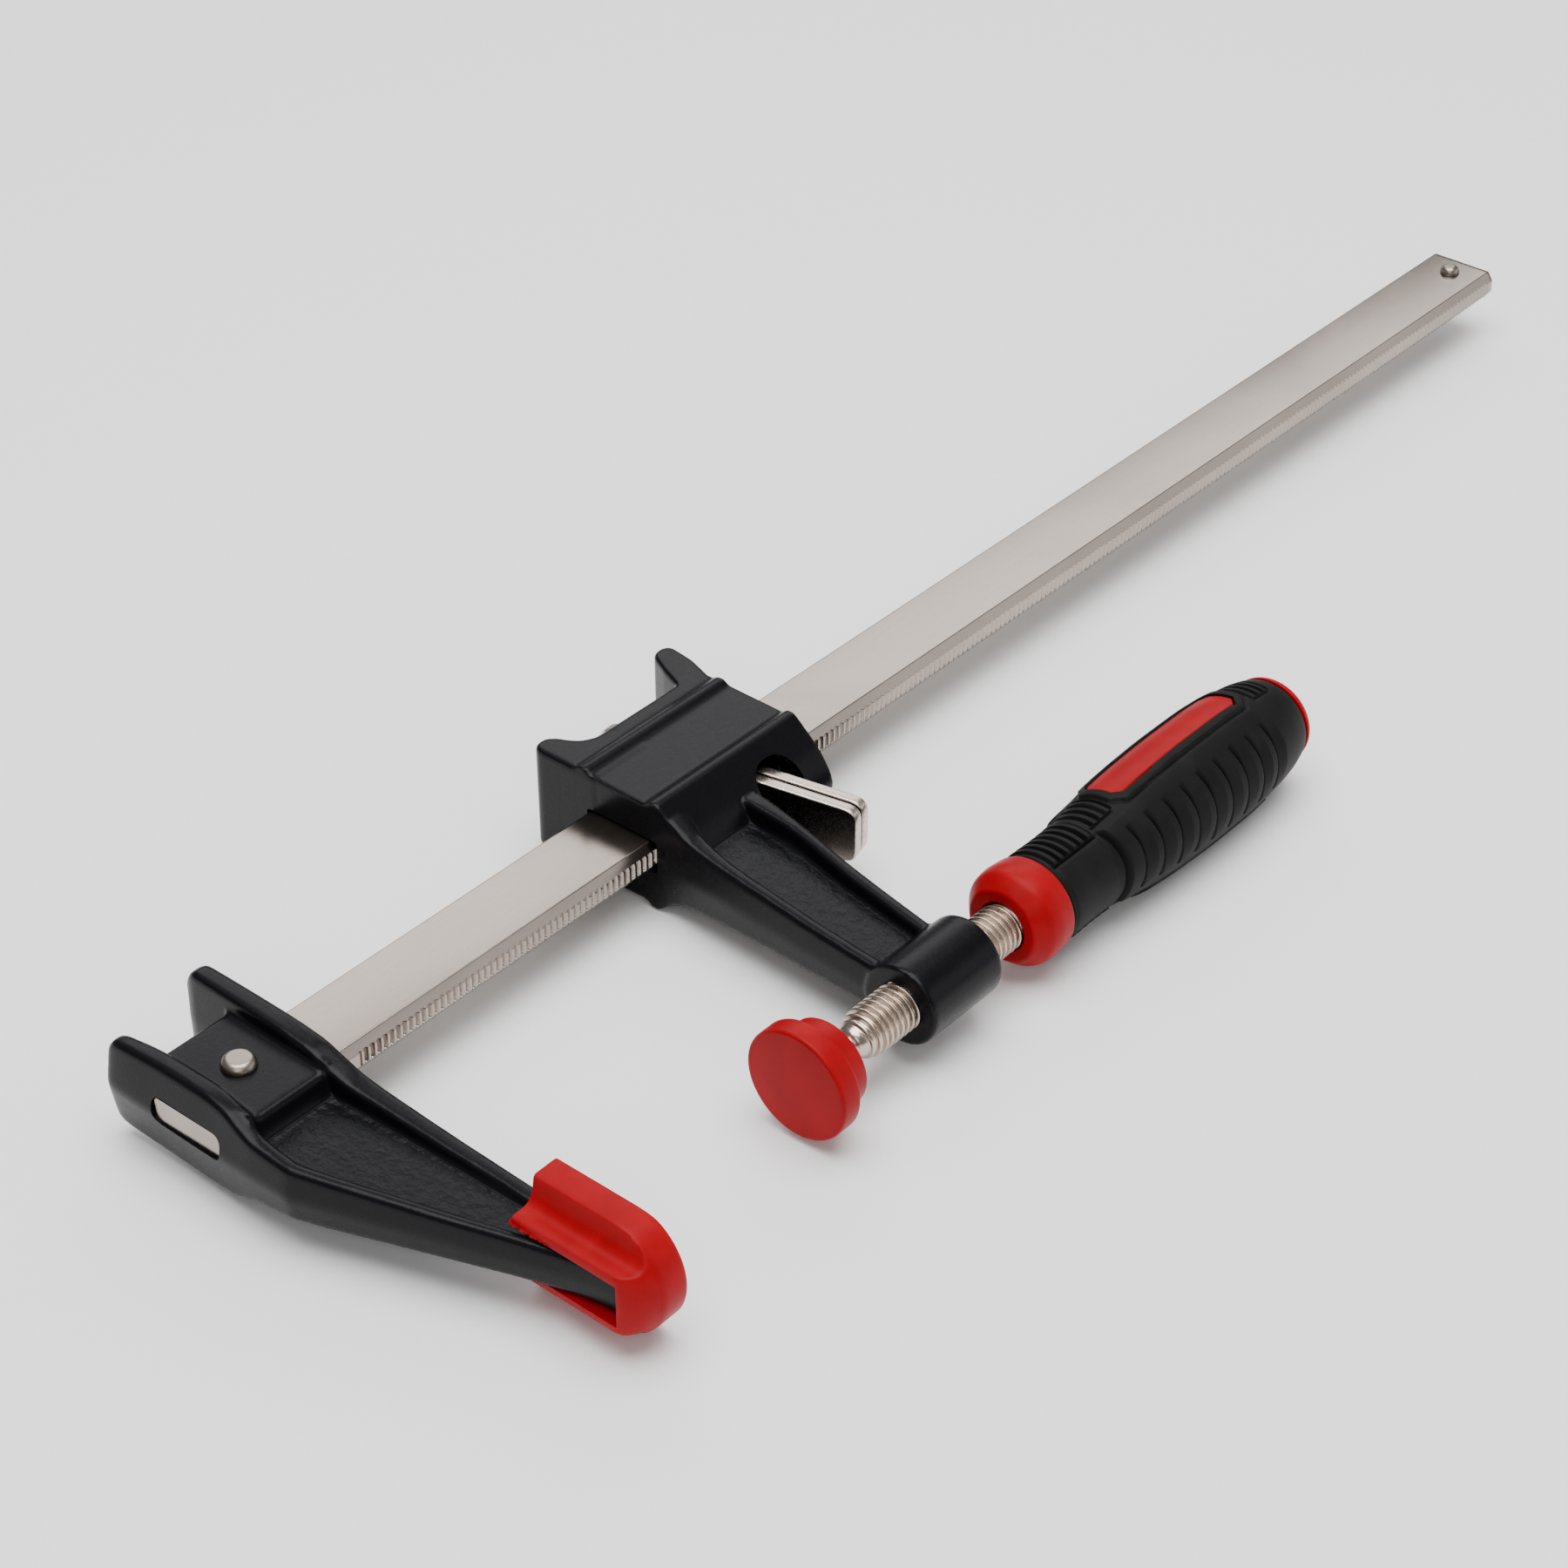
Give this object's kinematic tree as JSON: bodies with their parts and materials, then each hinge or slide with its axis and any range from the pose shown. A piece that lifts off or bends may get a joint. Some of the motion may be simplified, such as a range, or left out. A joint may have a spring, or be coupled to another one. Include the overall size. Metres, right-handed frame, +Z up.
{
  "type": "f clamp",
  "caption": "F-style bar clamp: toothed flat bar, fixed jaw with soft cap, sliding jaw with clutch plates, screw with swivel pad and ribbed handle.",
  "frame": {"origin": "bottom centre of the bounding box of the tool as it lies flat on a bench", "axes": "+X along the bar from the fixed jaw to its free end, +Y from the jaw arms towards the bar's back, +Z up through the flat of the bar"},
  "size_m": [0.4164, 0.1178, 0.0252],
  "materials": {
    "bar_steel": "nickel-plated drawn steel, satin, warm silver",
    "rivet_steel": "nickel-plated, polished by forming",
    "clutch_steel": "nickel-plated stamped plate, fine grain on the cut edges",
    "screw_steel": "nickel-plated rolled thread",
    "jaw_casting": "black semi-gloss enamel over a fine sand-cast texture",
    "soft_red": "moulded soft red vinyl with a satin skin",
    "handle_red": "moulded red plastic with a satin skin",
    "handle_rubber": "matt black over-moulded rubber"
  },
  "bodies": {
    "frame": {"bar": "bar_steel", "end_stop_rivet": "rivet_steel", "fixed_jaw": "jaw_casting", "fixed_jaw_rivet": "rivet_steel", "fixed_jaw_cap": "soft_red"},
    "sliding_arm": {"sliding_jaw": "jaw_casting"},
    "clutch": {"clutch_plate_front": "clutch_steel", "clutch_plate_rear": "clutch_steel"},
    "screw_carrier": {"neck_clip": "screw_steel"},
    "screw": {"spindle": "screw_steel", "handle_core": "handle_red", "handle_grip": "handle_rubber"},
    "pad": {"pad_swivel_plate": "screw_steel", "pad_cap": "soft_red"}
  },
  "joints": [
    {"name": "jaw_slide", "type": "slide", "parent": "frame", "child": "sliding_arm", "axis": [1, 0, 0], "range_m": [-0.0373, 0.255]},
    {"name": "clutch_release", "type": "hinge", "parent": "sliding_arm", "child": "clutch", "pos_m": [-0.0729, 0.0183, 0.0126], "axis": [0, 0, -1], "range_deg": [0, 11], "stiffness_Nm_per_rad": 0.05, "springref_deg": -10},
    {"name": "screw_advance", "type": "slide", "parent": "sliding_arm", "child": "screw_carrier", "axis": [1, 0, 0], "range_m": [-0.0096, 0.0174]},
    {"name": "screw_turn", "type": "hinge", "parent": "screw_carrier", "child": "screw", "pos_m": [-0.0758, -0.0402, 0.0126], "axis": [1, 0, 0], "range_deg": [-2310, 4182]},
    {"name": "pad_tilt", "type": "hinge", "parent": "screw_carrier", "child": "pad", "pos_m": [-0.1244, -0.0402, 0.0126], "axis": [0, 0, 1], "range_deg": [-8, 8]}
  ],
  "couplings": [
    {"joint": "screw_turn", "follows": "screw_advance", "rad_per_m": 4188.8}
  ]
}
